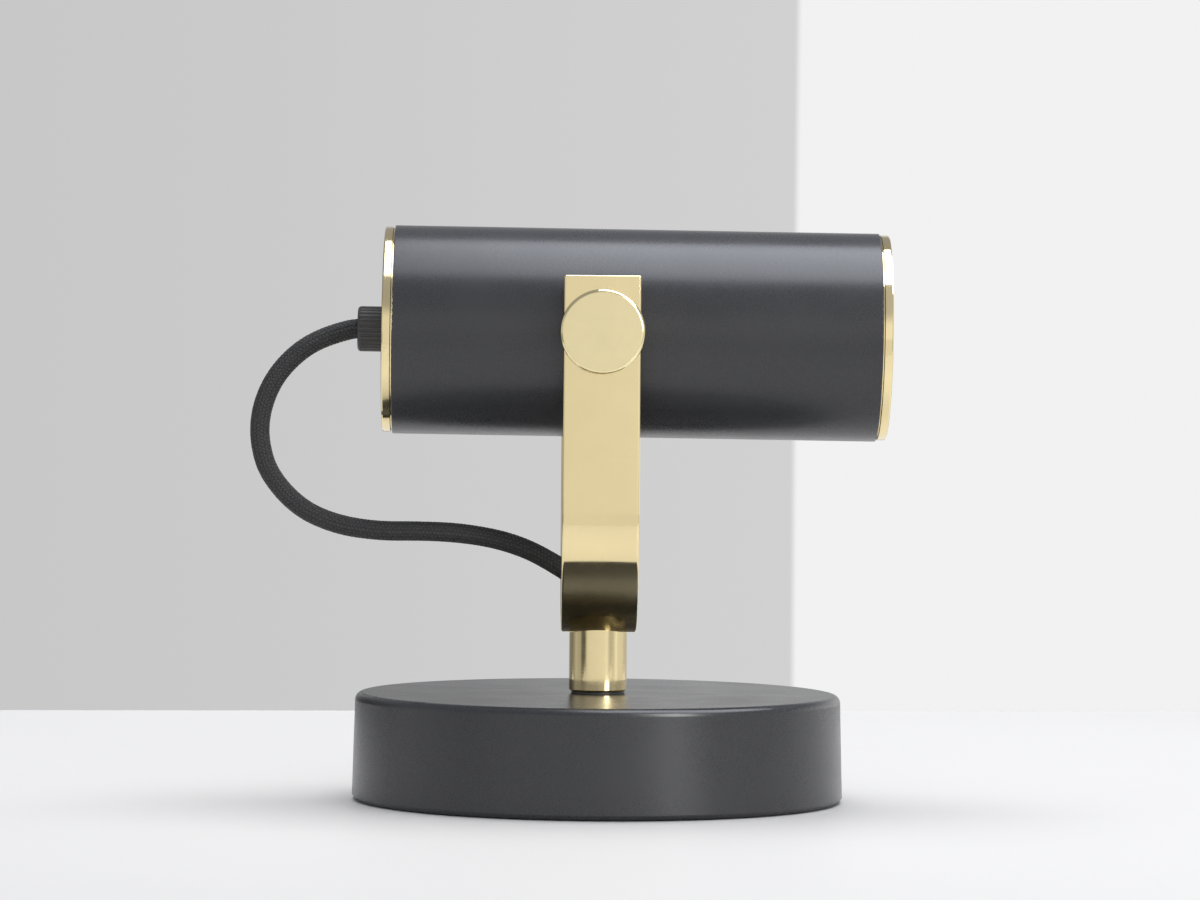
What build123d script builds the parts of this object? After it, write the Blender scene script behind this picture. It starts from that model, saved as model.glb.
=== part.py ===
from build123d import *
import os
from math import cos, sin, tan, radians, degrees, pi, sqrt

# Tabletop searchlight lamp. Millimetres, +Z up.
# Origin: centre of the foot pad's underside, where the base stands.
# +X is the way the light shines, the yoke's arms stand at -Y and +Y.

os.makedirs("parts", exist_ok=True)

# ---------------------------------------------------------------- driving dimensions
# base
BASE_R_TOP = 81.55       # shell radius at the top face
BASE_R_LOW = 82.5        # widest radius, just above the bottom chamfer
BASE_H = 36.0            # height of the top face
BASE_LIP_Z = 0.35        # underside of the shell's lip
BASE_CHAMFER_TOP = 1.7   # the bottom chamfer ends here
BASE_TOP_T = 2.5         # top plate thickness
BASE_EDGE_R = 2.6        # rounding of the top edge
PLATE_Z0, PLATE_Z1 = 1.9, 3.4
BALLAST_R, BALLAST_RI, BALLAST_T = 74.0, 24.0, 10.0
NOTCH_W = 42.0           # wiring slot in the ballast, on the +Y side
OUTLET_Z = 12.0          # height of the mains outlet
OUTLET_R = 3.5           # bore of its grommet

# post and yoke
POST_R = 9.75
POST_Z0 = 36.6
ROD_R, ROD_RI = 5.0, 4.0  # M10x1 hollow rod
ROD_Z0, ROD_Z1 = 20.0, 62.2
STRAP_W, STRAP_T = 25.4, 3.0
YOKE_RO = 41.0           # outer radius of the U
YOKE_RI = YOKE_RO - STRAP_T
YOKE_CZ = 97.4           # height of the U's arc centre
YOKE_TOP = 175.8         # top of both arms
PIVOT_Z = 157.2          # tilt axis

# head, measured from the tilt axis along the tube
TILT = 0.5               # the head rests this far nose down, degrees
TUBE_R, TUBE_T = 35.0, 1.5
TUBE_X0, TUBE_X1 = -69.5, 92.9
RING_R = 34.5            # brass end pieces stand 0.5 under the tube's skin
RING_T = 3.0
GROOVE = 0.35            # shadow gap between tube and brass
MOUTH_R = 30.0
GLAND_R = 7.6
GLAND_X = -81.7          # outer end of the gland
BULB_FACE_X = 56.0

# knobs and studs
KNOB_R = 13.9
KNOB_Y0, KNOB_Y1 = 41.85, 53.0
KNOB_EDGE_R = 1.2        # rounding of the face's edge
STUD_R = 3.0             # M6
PIN_CLEAR = 0.05

# linking cord, centreline route in its own plane with a slight sideways drift
CORD_R = 3.2
CORD_FIRST_RUN = 2.50
CORD_ROUTE = [
    (-81.70, 0.0, 157.91), (-84.20, 0.0, 157.93), (-96.74, 0.2, 153.53),
    (-104.91, 0.6, 147.13), (-110.91, 1.0, 139.17), (-114.34, 1.4, 129.39),
    (-114.62, 1.6, 119.45), (-111.34, 1.5, 108.59), (-101.42, 1.2, 97.65),
    (-88.86, 0.8, 91.98), (-74.18, 0.2, 89.86), (-60.69, -0.4, 90.09),
    (-46.54, -0.8, 89.55), (-33.95, -1.0, 87.51), (-24.00, -0.9, 84.30),
    (-15.40, -0.6, 79.70), (-7.90, -0.2, 75.00), (-2.70, 0.0, 68.90),
    (0.0, 0.0, 62.20), (0.0, 0.0, 55.00),
]

HEAD = Pos(0, 0, PIVOT_Z) * Rot(0, TILT, 0)


# ---------------------------------------------------------------- helpers
def rod(r, a, b):
    """Solid cylinder from point a to point b."""
    a, b = Vector(*a), Vector(*b)
    return extrude(Plane(origin=a, z_dir=(b - a)) * Circle(r), amount=(b - a).length)


def tube(ro, ri, a, b):
    return rod(ro, a, b) - rod(ri, a, b)


def lathe_x(pts):
    """Turn a profile of (x, radius) about X."""
    return revolve(make_face(Plane.XZ * Polyline(*pts, close=True)), axis=Axis.X)


def lathe_z(pts):
    """Turn a profile of (radius, z) about Z."""
    return revolve(make_face(Plane.XZ * Polyline(*pts, close=True)), axis=Axis.Z)


def lathe_y(pts):
    """Turn a profile of (radius, y) about Y."""
    return revolve(make_face(Polyline(*pts, close=True)), axis=Axis.Y)


def block(x0, x1, y0, y1, z0, z1):
    return Pos((x0 + x1) / 2, (y0 + y1) / 2, (z0 + z1) / 2) * Box(x1 - x0, y1 - y0, z1 - z0)


def hexagon(across_flats, z0, z1, ri):
    """Hex nut on Z with a plain bore."""
    r = across_flats / 2 / cos(pi / 6)
    body = Pos(0, 0, z0) * extrude(RegularPolygon(r, 6), amount=z1 - z0)
    # corners turned off at 30 degrees on both faces
    chamfered = lathe_z([(0, z0), (across_flats / 2, z0), (r + 0.2, z0 + 0.55),
                         (r + 0.2, z1 - 0.55), (across_flats / 2, z1), (0, z1)])
    return (body & chamfered) - rod(ri, (0, 0, z0 - 1), (0, 0, z1 + 1))


def cross_recess(size, depth):
    """Cross-head driver recess, cut downwards from z = 0."""
    return block(-size, size, -size * 0.28, size * 0.28, -depth, 0.5) + \
        block(-size * 0.28, size * 0.28, -size, size, -depth, 0.5)


def wire(points, r, bend):
    """Round wire of straight runs joined by arcs."""
    path = FilletPolyline(*points, radius=bend)
    start = Vector(*points[0])
    way = Vector(*points[1]) - start
    return sweep(Plane(origin=start, z_dir=way) * Circle(r), path=path)


NODES = {}


def save(name, shape):
    if isinstance(shape, (list, tuple)):
        flat = []
        for s in shape:
            flat += list(s.solids())
        shape = Compound(children=flat) if len(flat) > 1 else flat[0]
    else:
        solids = shape.solids()
        shape = solids[0] if len(solids) == 1 else Compound(children=list(solids))
    NODES[name] = shape
    export_step(shape, f"parts/{name}.step")


# ================================================================ base
ceiling = BASE_H - BASE_TOP_T
shell = lathe_z([
    (81.2, BASE_LIP_Z), (BASE_R_LOW, BASE_CHAMFER_TOP), (BASE_R_TOP, BASE_H), (0, BASE_H),
    (0, ceiling), (79.4, ceiling), (79.4, PLATE_Z1), (80.2, PLATE_Z1), (80.2, BASE_LIP_Z),
])
top_edge = shell.edges().filter_by(GeomType.CIRCLE).sort_by(Axis.Z)[-1]
shell = fillet([top_edge], BASE_EDGE_R)
low_edges = [e for e in shell.edges().filter_by(GeomType.CIRCLE)
             if abs(e.center().Z - BASE_CHAMFER_TOP) < 0.01]
shell = fillet(low_edges, 0.5)
shell -= rod(8.0, (0, 0, 30), (0, 0, 40))                      # swivel bush hole
shell -= rod(6.0, (0, 70, OUTLET_Z), (0, 90, OUTLET_Z))        # mains outlet hole
shell -= rod(1.5, (14, 0, 33.0), (14, 0, 34.5))                # stop pin's blind hole
save("base_shell", shell)

# standoffs welded under the top plate carry the ballast and the bottom plate
BOLT_AT = [(50 * cos(radians(a)), 50 * sin(radians(a))) for a in (30, 150, 270)]
standoffs, bolts, cutters = [], [], []
bolt = lathe_z([(0, PLATE_Z0), (4.6, PLATE_Z0), (2.5, 4.0), (2.5, 24.0), (2.1, 24.5), (0, 24.5)])
bolt -= Pos(0, 0, PLATE_Z0 - 0.1) * extrude(RegularPolygon(1.5 / cos(pi / 6), 6), amount=1.7)
bolt_cut = lathe_z([(0, PLATE_Z0 - 0.5), (4.7, PLATE_Z0 - 0.5), (4.7, PLATE_Z0 + 0.05), (2.6, 4.1),
                    (2.6, 25.5), (0, 25.5)])
for x, y in BOLT_AT:
    s = Pos(x, y, PLATE_Z1 + BALLAST_T) * extrude(RegularPolygon(5.0 / cos(pi / 6), 6),
                                                 amount=ceiling - PLATE_Z1 - BALLAST_T)
    standoffs.append(s - rod(2.5, (x, y, 10), (x, y, 25.5)))
    bolts.append(Pos(x, y, 0) * bolt)
    cutters.append(Pos(x, y, 0) * bolt_cut)
save("standoffs", standoffs)
save("base_bolts", bolts)

plate = lathe_z([(0, PLATE_Z0), (80.0, PLATE_Z0), (80.0, PLATE_Z1), (0, PLATE_Z1)])
for c in cutters:
    plate -= c
save("bottom_plate", plate)

ballast = tube(BALLAST_R, BALLAST_RI, (0, 0, PLATE_Z1), (0, 0, PLATE_Z1 + BALLAST_T))
ballast = chamfer(ballast.edges().filter_by(GeomType.CIRCLE), 0.6)
ballast -= block(-NOTCH_W / 2, NOTCH_W / 2, 0, 90, 0, 40)
for c in cutters:
    ballast -= c
save("ballast", ballast)

pad = lathe_z([(0, 0), (78.8, 0), (79.4, 0.6), (79.4, PLATE_Z0), (0, PLATE_Z0)])
save("foot_pad", pad)

# swivel bush, pressed up into the top plate
bush = lathe_z([(ROD_R + PIN_CLEAR, 31.5), (10.5, 31.5), (10.5, ceiling), (8.0, ceiling),
                (8.0, BASE_H), (ROD_R + PIN_CLEAR, BASE_H)])
save("swivel_bush", bush)
save("stop_pin", rod(1.5, (14, 0, 27.6), (14, 0, 34.5)))

# mains outlet grommet, rubber, snapped into the shell wall
grommet = lathe_y([(OUTLET_R, 77.9), (7.0, 77.9), (7.5, 78.4), (7.5, 79.4), (6.0, 79.4),
                   (6.0, 82.95), (7.5, 82.95), (7.5, 83.7), (6.8, 84.4), (OUTLET_R, 84.4)])
save("outlet_grommet", Pos(0, -0.4, OUTLET_Z) * grommet)

# two saddle clamps: the linking cord's, and one for the mains lead
LINK_Z = 10.0
lower, upper, clamp_screws = [], [], []
for y0, cz, cr in ((19.0, LINK_Z, CORD_R), (60.0, OUTLET_Z, 3.4)):
    y1 = y0 + 6.0
    groove = rod(cr, (0, y0 - 1, cz), (0, y1 + 1, cz))
    lo = block(-11, 11, y0, y1, PLATE_Z1, cz - 0.5) - groove
    up = block(-11, 11, y0, y1, cz + 0.5, cz + 5.0)
    up = chamfer(up.edges().filter_by(Axis.Y).group_by(Axis.Z)[-1], 1.0) - groove
    screw = lathe_z([(0, PLATE_Z1 + 0.2), (1.5, PLATE_Z1 + 0.2), (1.5, cz + 5.0), (2.9, cz + 5.0),
                     (2.9, cz + 6.0), (2.3, cz + 6.6), (0, cz + 6.6)])
    screw -= Pos(0, 0, cz + 6.6) * cross_recess(1.5, 0.9)
    for x in (-7.9, 7.9):
        hole = rod(1.6, (x, y0 + 3, PLATE_Z1 - 1), (x, y0 + 3, cz + 8))
        lo -= hole
        up -= hole
        clamp_screws.append(Pos(x, y0 + 3, 0) * screw)
    lower.append(lo)
    upper.append(up)
save("cord_clamp_lower", lower)
save("cord_clamp_upper", upper)
save("cord_clamp_screws", clamp_screws)

# three-way terminal block on the bottom plate
TB_Y0, TB_Y1, TB_Z = 35.0, 49.0, 10.0
tb = block(-15, 15, TB_Y0, TB_Y1, PLATE_Z1, 17.5)
tb = fillet(tb.edges().filter_by(Axis.Z), 1.0)
tb_tubes, tb_screws = [], []
for x in (-9.0, 0.0, 9.0):
    tb -= rod(2.6, (x, TB_Y0 - 1, TB_Z), (x, TB_Y1 + 1, TB_Z))
    t = tube(2.6, 1.7, (x, TB_Y0 + 1.5, TB_Z), (x, TB_Y1 - 1.5, TB_Z))
    for y in (39.0, 45.0):
        tb -= rod(2.1, (x, y, TB_Z + 1), (x, y, 20))
        t -= rod(1.35, (x, y, TB_Z + 0.5), (x, y, TB_Z + 4))
        sc = lathe_z([(0, TB_Z + 1.1), (1.3, TB_Z + 1.1), (1.3, TB_Z + 2.9), (1.9, TB_Z + 2.9),
                      (1.9, TB_Z + 4.6), (0, TB_Z + 4.6)])
        sc -= block(-2.5, 2.5, -0.3, 0.3, TB_Z + 3.9, TB_Z + 5)
        tb_screws.append(Pos(x, y, 0) * sc)
    tb_tubes.append(t)
save("terminal_block", tb)
save("terminal_tubes", tb_tubes)
save("terminal_screws", tb_screws)

# linking cord inside the post, fixed in the base: down the hollow rod, then along to its clamp
JACKET_END = 27.0
save("cord_in_post", wire([(0, 0, 55.0), (0, 0, LINK_Z), (0, JACKET_END, LINK_Z)], CORD_R, 9.9))
base_wires = [
    wire([(-2.1, JACKET_END, TB_Z), (-2.1, 29.2, TB_Z), (-9, 32.8, TB_Z), (-9, 38.0, TB_Z)], 1.0, 1.8),
    wire([(2.1, JACKET_END, TB_Z), (2.1, 29.2, TB_Z), (9, 32.8, TB_Z), (9, 38.0, TB_Z)], 1.0, 1.8),
    rod(1.0, (0, JACKET_END, TB_Z), (0, 38.0, TB_Z)),
    wire([(0, 46.0, TB_Z), (0, 50.5, TB_Z), (5.0, 53.8, 7.8), (8.5, 54.5, 5.2)], 1.0, 1.6),
]
save("base_wires", base_wires)
lug = tube(3.4, 2.05, (13, 54.6, PLATE_Z1), (13, 54.6, PLATE_Z1 + 0.8))
earth_screw = lathe_z([(0, PLATE_Z1 + 0.05), (1.95, PLATE_Z1 + 0.05), (1.95, PLATE_Z1 + 0.8), (3.6, PLATE_Z1 + 0.8),
                       (3.6, PLATE_Z1 + 2.2), (2.9, PLATE_Z1 + 3.0), (0, PLATE_Z1 + 3.0)])
earth_screw -= Pos(0, 0, PLATE_Z1 + 3.0) * cross_recess(1.7, 1.1)
save("earth_screw_and_lug", [lug, Pos(13, 54.6, 0) * earth_screw])

# ================================================================ post and yoke
# post: brass, its top coped to the yoke's round underside, its foot lightly chamfered
post = lathe_z([(ROD_R + PIN_CLEAR, POST_Z0), (POST_R - 0.7, POST_Z0), (POST_R, POST_Z0 + 0.7),
                (POST_R, 62.0), (ROD_R + PIN_CLEAR, 62.0)])
post -= rod(YOKE_RO, (-30, 0, YOKE_CZ), (30, 0, YOKE_CZ))
save("post", post)

save("post_rod", lathe_z([(ROD_RI, ROD_Z0), (ROD_R - 0.5, ROD_Z0), (ROD_R, ROD_Z0 + 0.5),
                          (ROD_R, ROD_Z1 - 0.4), (ROD_R - 0.4, ROD_Z1), (ROD_RI, ROD_Z1)]))
save("post_foot_washer", lathe_z([(ROD_R + PIN_CLEAR, 36.03), (8.9, 36.03), (8.9, POST_Z0), (ROD_R + PIN_CLEAR, POST_Z0)]))

# swivel stack under the top plate: slip washer, disc spring, stop plate, two thin nuts
save("slip_washer", tube(9.5, ROD_R, (0, 0, 30.7), (0, 0, 31.45)))
save("disc_spring", lathe_z([(ROD_R, 30.0), (5.9, 29.95), (9.4, 30.15), (9.4, 30.7), (8.6, 30.7), (ROD_R, 30.45)]))
stop = tube(9.5, ROD_R, (0, 0, 28.7), (0, 0, 29.9)) + block(-16, -8, -2.2, 2.2, 28.7, 29.9)
stop -= rod(ROD_R, (0, 0, 20), (0, 0, 40))
save("stop_plate", stop)
nut = hexagon(14.0, 25.7, 28.7, ROD_R)
save("swivel_nuts", [nut, Pos(0, 0, -3.0) * (Rot(0, 0, 18) * nut)])

# yoke: flat brass strap bent to a U, edges softened
path = Polyline((0, -(YOKE_RO - STRAP_T / 2), YOKE_TOP), (0, -(YOKE_RO - STRAP_T / 2), YOKE_CZ)) + \
    ThreePointArc((0, -(YOKE_RO - STRAP_T / 2), YOKE_CZ), (0, 0, YOKE_CZ - YOKE_RO + STRAP_T / 2),
                  (0, YOKE_RO - STRAP_T / 2, YOKE_CZ)) + \
    Polyline((0, YOKE_RO - STRAP_T / 2, YOKE_CZ), (0, YOKE_RO - STRAP_T / 2, YOKE_TOP))
section = Plane(origin=(0, -(YOKE_RO - STRAP_T / 2), YOKE_TOP), x_dir=(1, 0, 0), z_dir=(0, 0, -1)) * \
    RectangleRounded(STRAP_W, STRAP_T, 0.7)
yoke = sweep(section, path=path)
tops = yoke.faces().filter_by(Axis.Z).group_by(Axis.Z)[-1]
yoke = fillet([e for f in tops for e in f.edges()], 0.5)
for side in (-1, 1):
    yoke -= rod(STUD_R + 0.1, (0, side * 30, PIVOT_Z), (0, side * 50, PIVOT_Z))
yoke -= rod(ROD_R + PIN_CLEAR, (0, 0, 50), (0, 0, 70))
yoke -= rod(8.6, (0, 0, YOKE_CZ - YOKE_RI), (0, 0, 70))         # spot face under the nut
save("yoke_strap", yoke)
save("yoke_nut", hexagon(14.0, YOKE_CZ - YOKE_RI, ROD_Z1, ROD_R))
save("cord_bush", lathe_z([(3.35, 57.0), (3.9, 57.0), (3.9, ROD_Z1), (5.4, ROD_Z1), (5.4, 63.0), (5.0, 63.4),
                           (4.6, 63.4), (4.1, 63.0), (3.8, 62.4), (3.55, 61.5), (3.35, 60.0)]))

# ================================================================ linking cord, free stretch
route = [Vector(*p) for p in CORD_ROUTE]
# the first run leaves the gland exactly along the head's axis
for i, x in ((0, GLAND_X), (1, GLAND_X - CORD_FIRST_RUN)):
    p = (HEAD * Pos(x, 0, 0)).position
    route[i] = Vector(p.X, p.Y, p.Z)
runs = [(b - a).length for a, b in zip(route, route[1:])]
turns = [(b - a).get_angle(c - b) for a, b, c in zip(route, route[1:], route[2:])]
radii = [0.45 * min(l0, l1) / tan(radians(t) / 2) for l0, l1, t in zip(runs, runs[1:], turns)]
cord_path = FilletPolyline(*route, radius=radii)
cord = sweep(Plane(origin=route[0], z_dir=route[1] - route[0]) * Circle(CORD_R), path=cord_path)
save("linking_cord", cord)
print("cord runs", [round(v, 1) for v in runs])
print("cord turns", [round(v, 1) for v in turns])
print("cord arc radii", [round(v, 1) for v in radii])
cord_len = cord_path.length
print(f"cord length {cord_len:.1f} mm, volume {cord.volume:.0f}, section x length {pi * CORD_R ** 2 * cord_len:.0f}")

# ================================================================ head
shade = tube(TUBE_R, TUBE_R - TUBE_T, (TUBE_X0, 0, 0), (TUBE_X1, 0, 0))
shade = fillet(shade.edges().filter_by(GeomType.CIRCLE), 0.35)
shade -= rod(7.0, (0, -50, 0), (0, 50, 0))
save("shade_tube", HEAD * shade)

fx = TUBE_X1 + GROOVE
front_ring = lathe_x([
    (TUBE_X1 - 6.0, MOUTH_R + 2.0), (TUBE_X1 - 6.0, 33.0), (TUBE_X1 - 5.6, 33.45), (fx, 33.45), (fx, RING_R - 0.25),
    (fx + 0.25, RING_R), (fx + RING_T - 0.5, RING_R), (fx + RING_T - 0.15, RING_R - 0.15), (fx + RING_T, RING_R - 0.5),
    (fx + RING_T, MOUTH_R + 0.5), (fx + RING_T - 0.15, MOUTH_R + 0.15), (fx + RING_T - 0.5, MOUTH_R),
    (fx, MOUTH_R),
])
save("front_ring", HEAD * front_ring)

bx = TUBE_X0 - GROOVE
rear = lathe_x([
    (bx - RING_T, 5.05), (bx - RING_T, RING_R - 0.5), (bx - RING_T + 0.15, RING_R - 0.15), (bx - RING_T + 0.5, RING_R),
    (bx - 0.25, RING_R), (bx, RING_R - 0.25), (bx, 33.45), (TUBE_X0 + 5.6, 33.45), (TUBE_X0 + 6.0, 33.0),
    (TUBE_X0 + 6.0, 31.6), (bx, 31.6), (bx, 5.05),
])
ROD_AT = 18.0
for z in (-ROD_AT, ROD_AT):
    rear -= rod(2.0, (bx - 2.0, 0, z), (bx + 1, 0, z))
save("rear_cap", HEAD * rear)

# curved reinforcing saddles inside the tube and the threaded pivot bosses riveted through them
saddles, bosses, inner_washers = [], [], []
for side, name in ((-1, "front"), (1, "back")):
    saddle = tube(33.45, 31.95, (-14, 0, 0), (14, 0, 0)) & (
        block(-14, 14, 20, 40, -12, 12) if side > 0 else block(-14, 14, -40, -20, -12, 12))
    saddle -= rod(7.0, (0, 0, 0), (0, side * 50, 0))
    saddles.append(HEAD * saddle)
    boss = lathe_y([(STUD_R + PIN_CLEAR, side * 28.8), (8.2, side * 28.8), (8.2, side * 30.8), (7.0, side * 30.8),
                    (7.0, side * 37.0), (6.6, side * 37.4), (STUD_R + PIN_CLEAR, side * 37.4)])
    bosses.append(HEAD * boss)
    inner_washers.append(HEAD * tube(9.0, STUD_R + 0.2, (0, side * 37.4, 0), (0, side * 37.95, 0)))
    # outer washer, knob and its stud lie on the tilt axis
    save(f"clamp_washer_{name}", HEAD * tube(8.5, STUD_R + 0.2, (0, side * 41.05, 0), (0, side * 41.8, 0)))
    y0, y1 = KNOB_Y0, KNOB_Y1
    core = lathe_y([(0, side * (y0 + 7.4)), (STUD_R, side * (y0 + 7.4)), (STUD_R, side * y0), (9.0, side * y0),
                    (9.0, side * (y0 + 0.6)), (KNOB_R - 0.9, side * (y0 + 0.6)), (KNOB_R - 0.25, side * (y0 + 1.0)),
                    (KNOB_R - 0.25, side * (y0 + 1.3)), (KNOB_R - 0.25, side * (y1 - 1.9)),
                    (KNOB_R, side * (y1 - 1.7)), (KNOB_R, side * y1), (0, side * y1)])
    core = fillet([e for e in core.edges().filter_by(GeomType.CIRCLE)
                   if abs(e.center().Y - side * y1) < 0.01], KNOB_EDGE_R)
    # straight knurl: a toothed band round the rim
    teeth = 72
    ring_pts = []
    for i in range(teeth):
        for k, rr in ((0.0, KNOB_R - 0.02), (0.34, KNOB_R - 0.02), (0.67, KNOB_R - 0.32)):
            a = 2 * pi * (i + k) / teeth
            ring_pts.append((rr * cos(a), rr * sin(a)))
    band = extrude(make_face(Polyline(*ring_pts, close=True)), amount=y1 - 2.3 - (y0 + 1.3))
    band = Rot(90, 0, 0) * band                                  # +Z becomes -Y
    band = Pos(0, -(y0 + 1.3), 0) * band if side < 0 else Pos(0, y1 - 2.3, 0) * band
    band -= rod(11.0, (0, side * (y0 - 1), 0), (0, side * (y1 + 1), 0))
    knob = core + band
    save(f"knob_{name}", HEAD * knob)
    stud = lathe_y([(0, side * 29.5), (STUD_R - 0.5, side * 29.5), (STUD_R, side * 30.0),
                    (STUD_R, side * (y0 + 7.4)), (0, side * (y0 + 7.4))])
    save(f"knob_stud_{name}", HEAD * stud)
save("pivot_saddles", saddles)
save("pivot_bosses", bosses)
save("friction_washers", inner_washers)

# cord gland: threaded nipple, rubber grip, fluted nut, lock nut inside the cap
bf = bx - RING_T                                                # outer face of the rear cap
nipple = tube(5.0, 3.85, (-79.4, 0, 0), (-64.5, 0, 0))
save("gland_nipple", HEAD * nipple)
save("gland_grip", HEAD * tube(3.8, CORD_R, (-79.2, 0, 0), (-73.5, 0, 0)))
fl = lathe_x([(bf, 5.05), (bf, GLAND_R), (GLAND_X + 1.1, GLAND_R), (GLAND_X + 0.6, GLAND_R - 0.12),
              (GLAND_X + 0.2, GLAND_R - 0.45), (GLAND_X, GLAND_R - 1.0), (GLAND_X, 3.45), (GLAND_X + 0.3, CORD_R + 0.05),
              (-79.5, CORD_R + 0.05), (-79.5, 5.05)])
FLUTES = 30
for i in range(FLUTES):
    a = 2 * pi * (i + 0.5) / FLUTES
    y, z = (GLAND_R + 0.12) * cos(a), (GLAND_R + 0.12) * sin(a)
    fl -= rod(0.5, (GLAND_X + 0.75, y, z), (bf + 0.5, y, z))
save("gland_nut", HEAD * fl)
lock = HEAD * (Rot(0, 90, 0) * hexagon(14.0, bx, bx + 3.0, 5.0))
save("gland_locknut", lock)
save("cord_in_gland", HEAD * rod(CORD_R, (GLAND_X, 0, 0), (-60.0, 0, 0)))

# lampholder carrier: two threaded rods from the rear cap to a round plate
PLATE_X0, PLATE_X1 = -16.5, -15.0
hp = tube(32.4, 4.5, (PLATE_X0, 0, 0), (PLATE_X1, 0, 0))
rods, nuts = [], []
for z in (-ROD_AT, ROD_AT):
    hp -= rod(2.1, (PLATE_X0 - 1, 0, z), (PLATE_X1 + 1, 0, z))
    rods.append(rod(2.0, (bx - 2.0, 0, z), (PLATE_X1 + 4.0, 0, z)))
    for x0 in (PLATE_X0 - 2.4, PLATE_X1):
        n = Rot(0, 90, 0) * hexagon(7.0, 0, 2.4, 2.0)
        nuts.append(Pos(x0, 0, z) * n)
for y in (-9.0, 9.0):
    hp -= rod(1.6, (PLATE_X0 - 1, y, 0), (PLATE_X1 + 1, y, 0))
hp -= rod(1.8, (PLATE_X0 - 1, 20, 8), (PLATE_X1 + 1, 20, 8))    # earth screw
for y, z in ((-20, -10), (-20, 10), (20, -10)):
    hp -= rod(3.5, (PLATE_X0 - 1, y, z), (PLATE_X1 + 1, y, z))  # vents
save("holder_plate", HEAD * hp)
save("carrier_rods", [HEAD * r for r in rods])
save("carrier_nuts", [HEAD * n for n in nuts])

# twist-lock two-pin lampholder, ceramic
LH_X0, LH_X1 = PLATE_X1, 8.0
lh = rod(13.0, (LH_X0, 0, 0), (LH_X1, 0, 0))
lh = fillet(lh.edges().filter_by(GeomType.CIRCLE).sort_by(Axis.X)[-1:], 1.0)
lh -= block(-20, 20, -20, -12.0, -20, 20) + block(-20, 20, 12.0, 20, -20, 20)
for y in (-5.0, 5.0):
    lh -= rod(2.9, (-6.5, y, 0), (LH_X1 + 1, y, 0))
lh -= rod(1.3, (LH_X0 - 1, -9.0, 0), (LH_X0 + 6, -9.0, 0))
lh -= rod(1.3, (LH_X0 - 1, 9.0, 0), (LH_X0 + 6, 9.0, 0))
lh -= rod(1.2, (LH_X0 - 1, -2.1, 0), (LH_X0 + 4, -2.1, 0)) + rod(1.2, (LH_X0 - 1, 2.1, 0), (LH_X0 + 4, 2.1, 0))
save("lampholder", HEAD * lh)
contacts = []
for y in (-5.0, 5.0):
    contacts.append(tube(2.85, 2.55, (-6.0, y, 0), (-1.5, y, 0)) + rod(2.85, (-6.4, y, 0), (-6.0, y, 0)))
save("lampholder_contacts", [HEAD * c for c in contacts])
screws = []
for y in (-9.0, 9.0):
    s = rod(1.25, (PLATE_X0, y, 0), (LH_X0 + 5.5, y, 0)) + rod(2.6, (PLATE_X0 - 1.8, y, 0), (PLATE_X0, y, 0))
    screws.append(s)
save("lampholder_screws", [HEAD * s for s in screws])
es = rod(1.75, (PLATE_X0, 20, 8), (PLATE_X1 + 3.5, 20, 8)) + rod(3.3, (PLATE_X0 - 2.2, 20, 8), (PLATE_X0, 20, 8))
save("head_earth_screw", HEAD * es)

# inner wires of the head: two cores to the lampholder, earth core to the carrier plate
save("head_wires", [
    HEAD * rod(1.0, (-59.9, -1.5, 0.9), (LH_X0 + 3.5, -2.1, 0)),
    HEAD * rod(1.0, (-59.9, 1.5, 0.9), (LH_X0 + 3.5, 2.1, 0)),
    HEAD * wire([(-59.9, 0, -1.7), (-52.0, 0, -1.7), (-34.0, 17.0, 5.0), (-24.5, 20.0, 8.0), (-18.7, 20.0, 8.0)], 1.0, 2.5),
])

# reflector bulb with a two-pin ceramic neck
neck = lathe_x([(8.05, 0), (8.05, 9.2), (9.0, 9.8), (20.0, 10.2), (21.0, 11.0), (25.0, 11.3), (25.0, 0)])
save("bulb_neck", HEAD * neck)
pins = []
for y in (-5.0, 5.0):
    pins.append(rod(1.5, (2.5, y, 0), (8.05, y, 0)) + rod(2.4, (-1.2, y, 0), (2.5, y, 0)))
save("bulb_pins", [HEAD * p for p in pins])
outer = [(25.0, 11.3)] + [(25.0 + 28.0 * t, 11.3 + (24.6 - 11.3) * t ** 0.62) for t in (0.08, 0.2, 0.35, 0.5, 0.7, 0.85)] + [(53.0, 24.6)]
inner = [(x + 0.4 if x < 53 else x, r - 1.3) for x, r in reversed(outer)]
refl = lathe_x(outer + [(53.6, 25.0), (55.2, 25.0), (55.2, 24.2), (54.2, 24.2), (54.2, 23.3)] + inner[0:] + [(25.4, 0.0), (25.0, 0.0)])
save("bulb_reflector", HEAD * refl)
save("bulb_glass", HEAD * lathe_x([(54.2, 0), (54.2, 24.2), (55.2, 24.2), (55.6, 23.6), (BULB_FACE_X, 12.0), (BULB_FACE_X + 0.05, 0)]))
save("bulb_capsule", HEAD * lathe_x([(25.4, 0), (25.4, 3.6), (30.0, 4.0), (31.0, 4.6), (40.0, 4.6), (42.5, 3.6), (44.0, 1.4), (44.4, 0)]))

print(len(NODES), "nodes")
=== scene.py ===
import math

import bmesh
import bpy
import numpy as np
from mathutils import Matrix, Quaternion, Vector


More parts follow.
